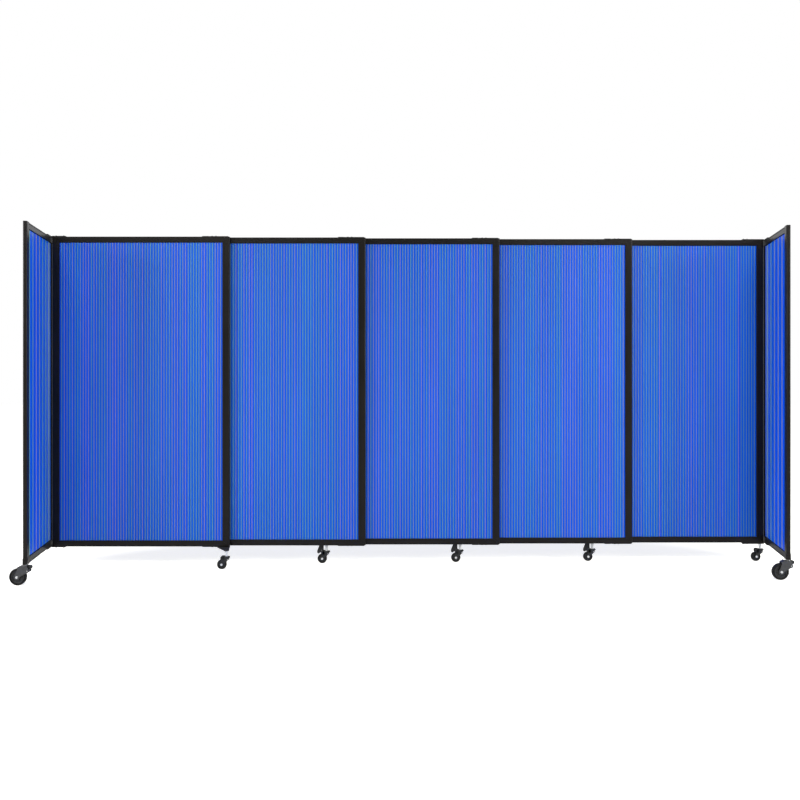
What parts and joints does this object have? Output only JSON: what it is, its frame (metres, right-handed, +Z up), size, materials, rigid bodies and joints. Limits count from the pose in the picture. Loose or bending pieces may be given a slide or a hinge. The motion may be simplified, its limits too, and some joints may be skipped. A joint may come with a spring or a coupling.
{
  "type": "sliding partition",
  "caption": "Freestanding sliding partition: telescoping blue fluted panels in black frames, with a hinged wing at each end, on braked swivel casters.",
  "frame": {"origin": "on the floor, under the middle of the footprint of the wall at full length with its wings turned in", "axes": "+X along the wall to the right as seen from its front, +Y from the front to the back, +Z up"},
  "size_m": [4.6294, 0.6777, 2.0833],
  "materials": {
    "frame_black": "satin black powder coat on aluminium profiles, brackets and screws",
    "sheet_blue": "translucent blue twin-wall polycarbonate with a soft sheen",
    "glide_nylon": "natural white nylon glides",
    "zinc": "bright zinc-plated stems and nuts",
    "caster_black": "black glass-filled nylon forks and pedals",
    "wheel_rubber": "soft black rubber tread on a nylon core"
  },
  "bodies": {
    "panel_1": {"panel_1_frame": "frame_black", "panel_1_sheet": "sheet_blue", "panel_1_brackets": "frame_black", "panel_1_glides": "glide_nylon", "panel_1_hinge_straps": "frame_black", "panel_1_caster_arm": "frame_black", "panel_1_stem": "zinc"},
    "panel_2": {"panel_2_frame": "frame_black", "panel_2_sheet": "sheet_blue", "panel_2_brackets": "frame_black", "panel_2_glides": "glide_nylon"},
    "panel_3": {"panel_3_frame": "frame_black", "panel_3_sheet": "sheet_blue", "panel_3_brackets": "frame_black", "panel_3_glides": "glide_nylon", "panel_3_caster_plate": "frame_black", "panel_3_stem": "zinc"},
    "panel_4": {"panel_4_frame": "frame_black", "panel_4_sheet": "sheet_blue", "panel_4_brackets": "frame_black", "panel_4_glides": "glide_nylon", "panel_4_caster_plate": "frame_black", "panel_4_stem": "zinc"},
    "panel_5": {"panel_5_frame": "frame_black", "panel_5_sheet": "sheet_blue", "panel_5_brackets": "frame_black", "panel_5_glides": "glide_nylon", "panel_5_hinge_straps": "frame_black", "panel_5_caster_plates": "frame_black", "panel_5_stems": "zinc"},
    "left_wing": {"left_wing_frame": "frame_black", "left_wing_sheet": "sheet_blue", "left_wing_hinges": "frame_black", "left_wing_stem": "zinc"},
    "right_wing": {"right_wing_frame": "frame_black", "right_wing_sheet": "sheet_blue", "right_wing_hinges": "frame_black", "right_wing_stem": "zinc"},
    "panel_1_fork": {"panel_1_fork": "caster_black"},
    "panel_1_wheel": {"panel_1_wheel": "wheel_rubber"},
    "panel_1_brake": {"panel_1_brake": "caster_black"},
    "panel_3_fork": {"panel_3_fork": "caster_black"},
    "panel_3_wheel": {"panel_3_wheel": "wheel_rubber"},
    "panel_3_brake": {"panel_3_brake": "caster_black"},
    "panel_4_fork": {"panel_4_fork": "caster_black"},
    "panel_4_wheel": {"panel_4_wheel": "wheel_rubber"},
    "panel_4_brake": {"panel_4_brake": "caster_black"},
    "panel_5_left_fork": {"panel_5_left_fork": "caster_black"},
    "panel_5_left_wheel": {"panel_5_left_wheel": "wheel_rubber"},
    "panel_5_left_brake": {"panel_5_left_brake": "caster_black"},
    "panel_5_right_fork": {"panel_5_right_fork": "caster_black"},
    "panel_5_right_wheel": {"panel_5_right_wheel": "wheel_rubber"},
    "panel_5_right_brake": {"panel_5_right_brake": "caster_black"},
    "left_wing_fork": {"left_wing_fork": "caster_black"},
    "left_wing_wheel": {"left_wing_wheel": "wheel_rubber"},
    "left_wing_brake": {"left_wing_brake": "caster_black"},
    "right_wing_fork": {"right_wing_fork": "caster_black"},
    "right_wing_wheel": {"right_wing_wheel": "wheel_rubber"},
    "right_wing_brake": {"right_wing_brake": "caster_black"}
  },
  "joints": [
    {"name": "panel_2_slide", "type": "slide", "parent": "panel_1", "child": "panel_2", "axis": [-1, 0, 0], "range_m": [0, 0.729]},
    {"name": "panel_3_slide", "type": "slide", "parent": "panel_2", "child": "panel_3", "axis": [-1, 0, 0], "range_m": [0, 0.729]},
    {"name": "panel_4_slide", "type": "slide", "parent": "panel_3", "child": "panel_4", "axis": [-1, 0, 0], "range_m": [0, 0.729]},
    {"name": "panel_5_slide", "type": "slide", "parent": "panel_4", "child": "panel_5", "axis": [-1, 0, 0], "range_m": [0, 0.729]},
    {"name": "left_wing_hinge", "type": "hinge", "parent": "panel_1", "child": "left_wing", "pos_m": [-2.29943, 0.19958, 1.0975], "axis": [0, 0, -1], "range_deg": [0, 99.5]},
    {"name": "right_wing_hinge", "type": "hinge", "parent": "panel_5", "child": "right_wing", "pos_m": [2.30093, 0.31888, 1.0975], "axis": [0, 0, 1], "range_deg": [0, 101.5]},
    {"name": "panel_1_swivel", "type": "hinge", "parent": "panel_1", "child": "panel_1_fork", "pos_m": [-1.152, 0.06819, 0.08], "axis": [0, 0, 1], "continuous": true},
    {"name": "panel_1_roll", "type": "hinge", "parent": "panel_1_fork", "child": "panel_1_wheel", "pos_m": [-1.18, 0.06819, 0.03], "axis": [0, 1, 0], "continuous": true},
    {"name": "panel_1_pedal", "type": "hinge", "parent": "panel_1_fork", "child": "panel_1_brake", "pos_m": [-1.143, 0.06819, 0.0614], "axis": [0, 1, 0], "range_deg": [0, 20]},
    {"name": "panel_3_swivel", "type": "hinge", "parent": "panel_3", "child": "panel_3_fork", "pos_m": [-0.546, 0.22819, 0.08], "axis": [0, 0, 1], "continuous": true},
    {"name": "panel_3_roll", "type": "hinge", "parent": "panel_3_fork", "child": "panel_3_wheel", "pos_m": [-0.574, 0.22819, 0.03], "axis": [0, 1, 0], "continuous": true},
    {"name": "panel_3_pedal", "type": "hinge", "parent": "panel_3_fork", "child": "panel_3_brake", "pos_m": [-0.537, 0.22819, 0.0614], "axis": [0, 1, 0], "range_deg": [0, 20]},
    {"name": "panel_4_swivel", "type": "hinge", "parent": "panel_4", "child": "panel_4_fork", "pos_m": [0.31, 0.25819, 0.08], "axis": [0, 0, 1], "continuous": true},
    {"name": "panel_4_roll", "type": "hinge", "parent": "panel_4_fork", "child": "panel_4_wheel", "pos_m": [0.282, 0.25819, 0.03], "axis": [0, 1, 0], "continuous": true},
    {"name": "panel_4_pedal", "type": "hinge", "parent": "panel_4_fork", "child": "panel_4_brake", "pos_m": [0.319, 0.25819, 0.0614], "axis": [0, 1, 0], "range_deg": [0, 20]},
    {"name": "panel_5_left_swivel", "type": "hinge", "parent": "panel_5", "child": "panel_5_left_fork", "pos_m": [1.166, 0.28819, 0.08], "axis": [0, 0, 1], "continuous": true},
    {"name": "panel_5_left_roll", "type": "hinge", "parent": "panel_5_left_fork", "child": "panel_5_left_wheel", "pos_m": [1.138, 0.28819, 0.03], "axis": [0, 1, 0], "continuous": true},
    {"name": "panel_5_left_pedal", "type": "hinge", "parent": "panel_5_left_fork", "child": "panel_5_left_brake", "pos_m": [1.175, 0.28819, 0.0614], "axis": [0, 1, 0], "range_deg": [0, 20]},
    {"name": "panel_5_right_swivel", "type": "hinge", "parent": "panel_5", "child": "panel_5_right_fork", "pos_m": [2.252, 0.28819, 0.08], "axis": [0, 0, 1], "continuous": true},
    {"name": "panel_5_right_roll", "type": "hinge", "parent": "panel_5_right_fork", "child": "panel_5_right_wheel", "pos_m": [2.224, 0.28819, 0.03], "axis": [0, 1, 0], "continuous": true},
    {"name": "panel_5_right_pedal", "type": "hinge", "parent": "panel_5_right_fork", "child": "panel_5_right_brake", "pos_m": [2.261, 0.28819, 0.0614], "axis": [0, 1, 0], "range_deg": [0, 20]},
    {"name": "left_wing_swivel", "type": "hinge", "parent": "left_wing", "child": "left_wing_fork", "pos_m": [-2.21311, -0.31625, 0.114], "axis": [0, 0, 1], "continuous": true},
    {"name": "left_wing_roll", "type": "hinge", "parent": "left_wing_fork", "child": "left_wing_wheel", "pos_m": [-2.25711, -0.31625, 0.049], "axis": [0, 1, 0], "continuous": true},
    {"name": "left_wing_pedal", "type": "hinge", "parent": "left_wing_fork", "child": "left_wing_brake", "pos_m": [-2.19841, -0.31625, 0.08362], "axis": [0, 1, 0], "range_deg": [0, 20]},
    {"name": "right_wing_swivel", "type": "hinge", "parent": "right_wing", "child": "right_wing_fork", "pos_m": [2.19666, -0.19363, 0.114], "axis": [0, 0, 1], "continuous": true},
    {"name": "right_wing_roll", "type": "hinge", "parent": "right_wing_fork", "child": "right_wing_wheel", "pos_m": [2.15266, -0.19363, 0.049], "axis": [0, 1, 0], "continuous": true},
    {"name": "right_wing_pedal", "type": "hinge", "parent": "right_wing_fork", "child": "right_wing_brake", "pos_m": [2.21136, -0.19363, 0.08362], "axis": [0, 1, 0], "range_deg": [0, 20]}
  ]
}
